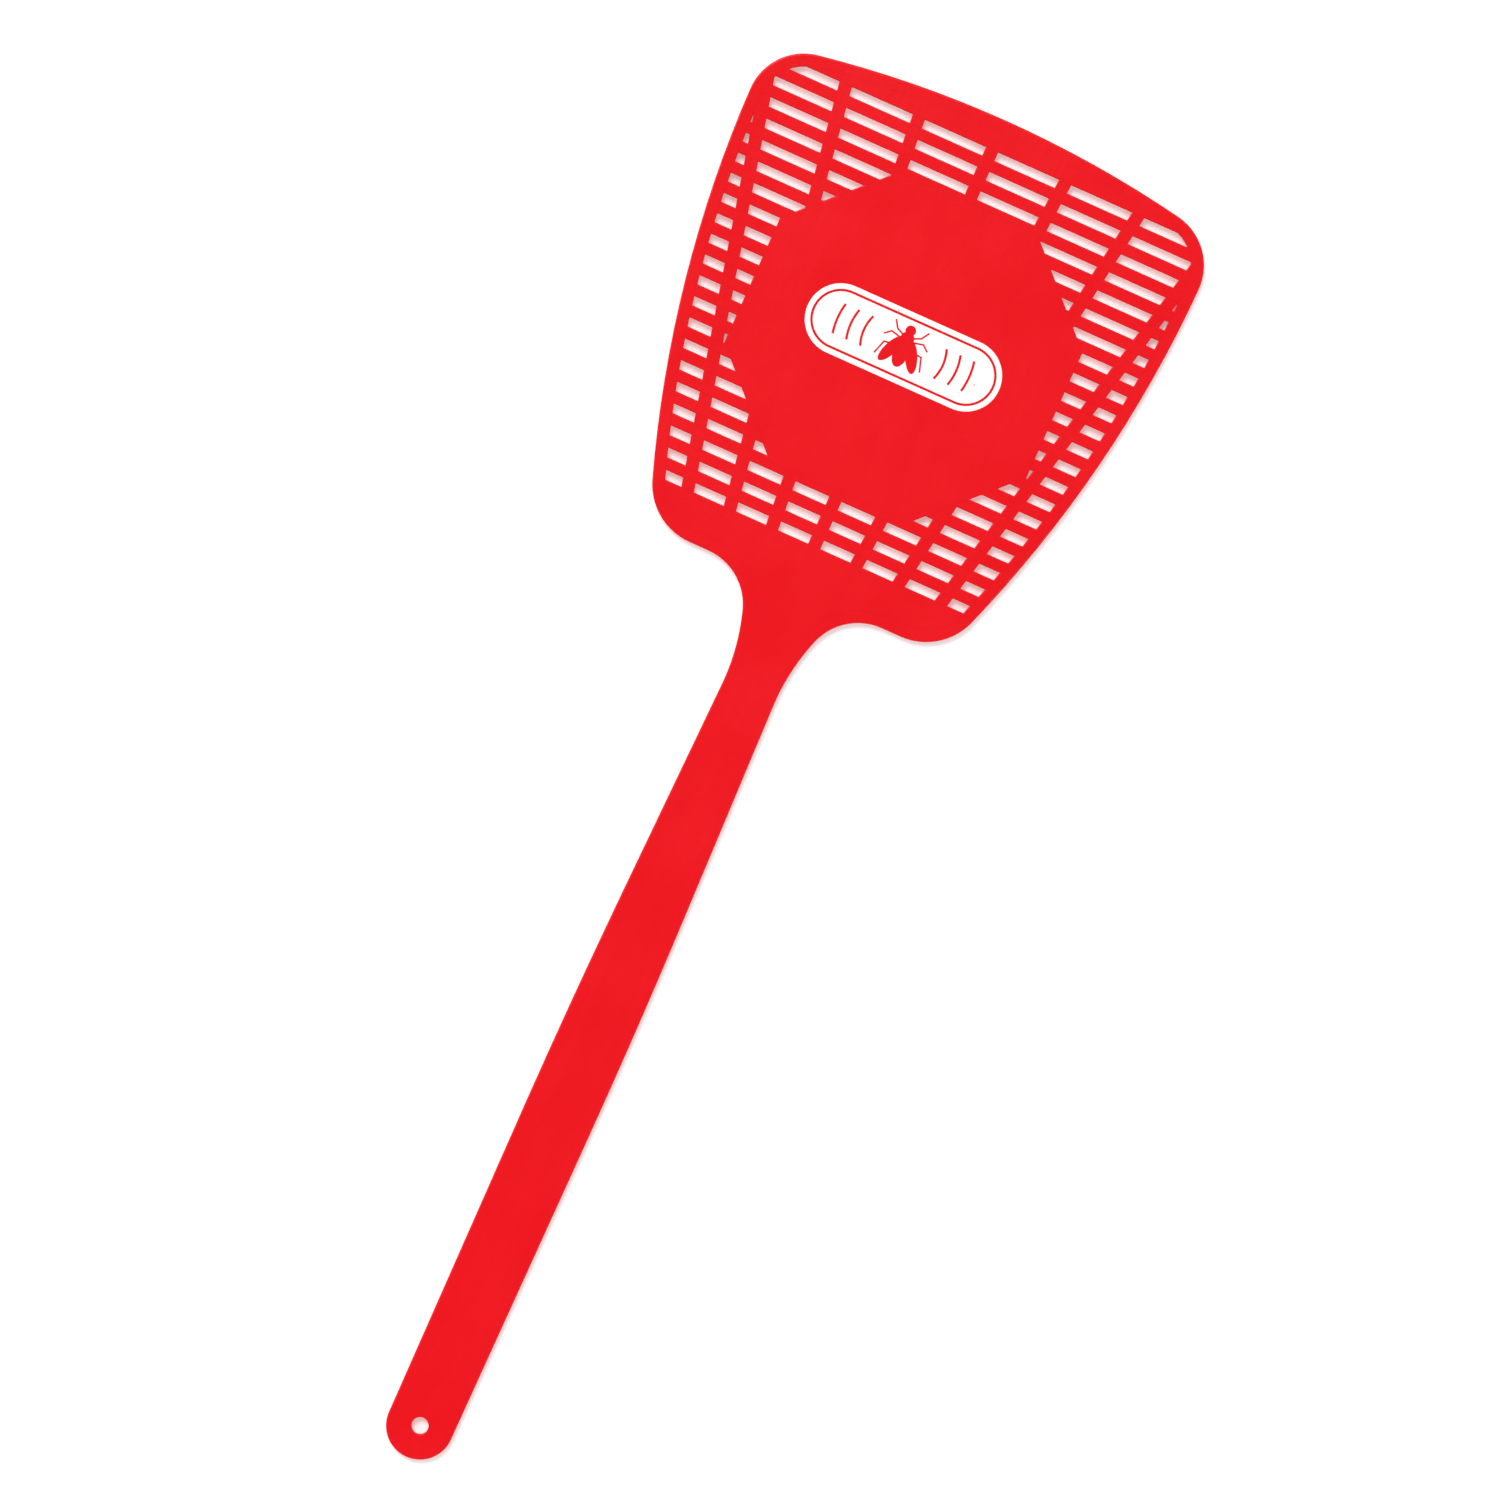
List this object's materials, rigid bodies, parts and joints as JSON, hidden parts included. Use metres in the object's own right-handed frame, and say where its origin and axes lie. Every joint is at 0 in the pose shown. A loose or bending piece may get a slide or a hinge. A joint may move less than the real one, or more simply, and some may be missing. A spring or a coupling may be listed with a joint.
{
  "type": "fly swatter",
  "caption": "Flexible one-piece plastic fly swatter: a long flat handle with a hanging hole, a bending neck and a slotted blade with a printed panel.",
  "frame": {"origin": "axis of the hanging hole, in the plane that the back rests on", "axes": "+Y from the hole along the handle to the top of the blade, +X across it to the right, +Z out of the printed front face"},
  "size_m": [0.1362, 0.406, 0.003],
  "materials": {
    "moulded_plastic": "moulded, satin to slight gloss",
    "white_ink": "screen-printed ink, matte"
  },
  "bodies": {
    "handle": {"handle_end": "moulded_plastic", "handle_grip": "moulded_plastic", "handle_shaft": "moulded_plastic"},
    "neck": {"neck": "moulded_plastic"},
    "blade": {"shoulder_web": "moulded_plastic", "blade_rim": "moulded_plastic", "centre_panel": "moulded_plastic", "cross_slat_01": "moulded_plastic", "cross_slat_02": "moulded_plastic", "cross_slat_03": "moulded_plastic", "cross_slat_04": "moulded_plastic", "cross_slat_05": "moulded_plastic", "cross_slat_06": "moulded_plastic", "cross_slat_07": "moulded_plastic", "cross_slat_08": "moulded_plastic", "cross_slat_09": "moulded_plastic", "cross_slat_10": "moulded_plastic", "cross_slat_11": "moulded_plastic", "cross_slat_12": "moulded_plastic", "cross_slat_13": "moulded_plastic", "cross_slat_14": "moulded_plastic", "cross_slat_15": "moulded_plastic", "cross_slat_16": "moulded_plastic", "cross_slat_17": "moulded_plastic", "cross_slat_18": "moulded_plastic", "cross_slat_19": "moulded_plastic", "cross_slat_20": "moulded_plastic", "cross_slat_21": "moulded_plastic", "fan_rib_1": "moulded_plastic", "fan_rib_2": "moulded_plastic", "fan_rib_3": "moulded_plastic", "fan_rib_4": "moulded_plastic", "fan_rib_5": "moulded_plastic", "fan_rib_6": "moulded_plastic", "fan_rib_7": "moulded_plastic", "printed_badge": "white_ink"}
  },
  "joints": [
    {"name": "shaft_flex", "type": "hinge", "parent": "handle", "child": "neck", "pos_m": [0, 0.163, 0.0018], "axis": [1, 0, 0], "range_deg": [0, 15], "stiffness_Nm_per_rad": 0.38, "deforming": ["handle_shaft"]},
    {"name": "neck_flex", "type": "hinge", "parent": "neck", "child": "blade", "pos_m": [0, 0.224, 0.0018], "axis": [1, 0, 0], "range_deg": [0, 30], "stiffness_Nm_per_rad": 0.65, "deforming": ["neck"]}
  ]
}
